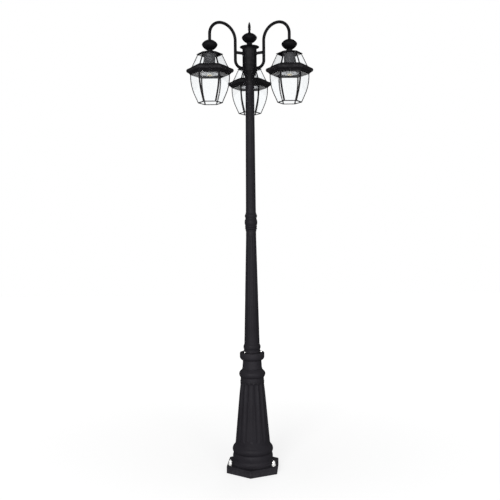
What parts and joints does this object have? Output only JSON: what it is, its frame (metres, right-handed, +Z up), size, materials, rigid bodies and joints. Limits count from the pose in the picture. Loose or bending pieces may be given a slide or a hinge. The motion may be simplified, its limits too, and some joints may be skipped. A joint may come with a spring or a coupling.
{
  "type": "triple head lamp post",
  "caption": "Tall fluted garden lamp post on a hexagonal foot, with hexagonal glazed lanterns hung from goosenecks round a turned finial",
  "frame": {"origin": "on the pole's axis at the underside of the foot", "axes": "+Z up along the pole; the front of the post, seen in the picture, faces -Y and +X is to the right of it; the lanterns hang at 210, 330 and 90 degrees from +X"},
  "size_m": [0.6234, 0.5399, 2.2804],
  "materials": {
    "painted_casting": "satin near-black paint with a fine texture, over a casting",
    "painted_metal": "satin near-black paint with a fine texture",
    "bright_hardware": "bright plated steel",
    "plated_steel": "zinc-plated steel",
    "clear_glass": "clear, polished, flat across and bowed in height",
    "polished_sheet": "polished sheet",
    "dark_housing": "satin dark grey",
    "glazed_porcelain": "white glaze"
  },
  "bodies": {
    "base": {"foot_casting": "painted_casting", "anchor_washers": "bright_hardware", "anchor_nuts": "bright_hardware", "collar_set_screws": "bright_hardware"},
    "pole": {"lower_shaft": "painted_metal", "joining_sleeve": "plated_steel", "shaft_coupling": "painted_metal", "upper_shaft": "painted_metal", "head_hub": "painted_metal", "hub_cap": "painted_metal", "finial_knob": "painted_metal", "finial_spike": "painted_metal", "arm_left": "painted_metal", "brace_left": "painted_metal", "nipple_left": "plated_steel", "lock_nut_left": "plated_steel", "arm_right": "painted_metal", "brace_right": "painted_metal", "nipple_right": "plated_steel", "lock_nut_right": "plated_steel", "arm_back": "painted_metal", "brace_back": "painted_metal", "nipple_back": "plated_steel", "lock_nut_back": "plated_steel"},
    "lantern_left": {"knob_left": "painted_metal", "roof_left": "painted_metal", "upper_frame_left": "painted_metal", "upper_glass_left": "clear_glass", "brim_left": "painted_metal", "lower_frame_left": "painted_metal", "lower_glass_left": "clear_glass", "bottom_ring_left": "painted_metal", "reflector_left": "polished_sheet", "socket_housing_left": "dark_housing", "lamp_holder_left": "glazed_porcelain"},
    "lantern_right": {"knob_right": "painted_metal", "roof_right": "painted_metal", "upper_frame_right": "painted_metal", "upper_glass_right": "clear_glass", "brim_right": "painted_metal", "lower_frame_right": "painted_metal", "lower_glass_right": "clear_glass", "bottom_ring_right": "painted_metal", "reflector_right": "polished_sheet", "socket_housing_right": "dark_housing", "lamp_holder_right": "glazed_porcelain"},
    "lantern_back": {"knob_back": "painted_metal", "roof_back": "painted_metal", "upper_frame_back": "painted_metal", "upper_glass_back": "clear_glass", "brim_back": "painted_metal", "lower_frame_back": "painted_metal", "lower_glass_back": "clear_glass", "bottom_ring_back": "painted_metal", "reflector_back": "polished_sheet", "socket_housing_back": "dark_housing", "lamp_holder_back": "glazed_porcelain"}
  },
  "joints": [
    {"name": "pole_swivel", "type": "hinge", "parent": "base", "child": "pole", "pos_m": [0, 0, 0.614], "axis": [0, 0, 1], "continuous": true},
    {"name": "lantern_swivel_left", "type": "hinge", "parent": "pole", "child": "lantern_left", "pos_m": [-0.19486, -0.1125, 2.107], "axis": [0, 0, 1], "continuous": true},
    {"name": "lantern_swivel_right", "type": "hinge", "parent": "pole", "child": "lantern_right", "pos_m": [0.19486, -0.1125, 2.107], "axis": [0, 0, 1], "continuous": true},
    {"name": "lantern_swivel_back", "type": "hinge", "parent": "pole", "child": "lantern_back", "pos_m": [0, 0.225, 2.107], "axis": [0, 0, 1], "continuous": true}
  ]
}
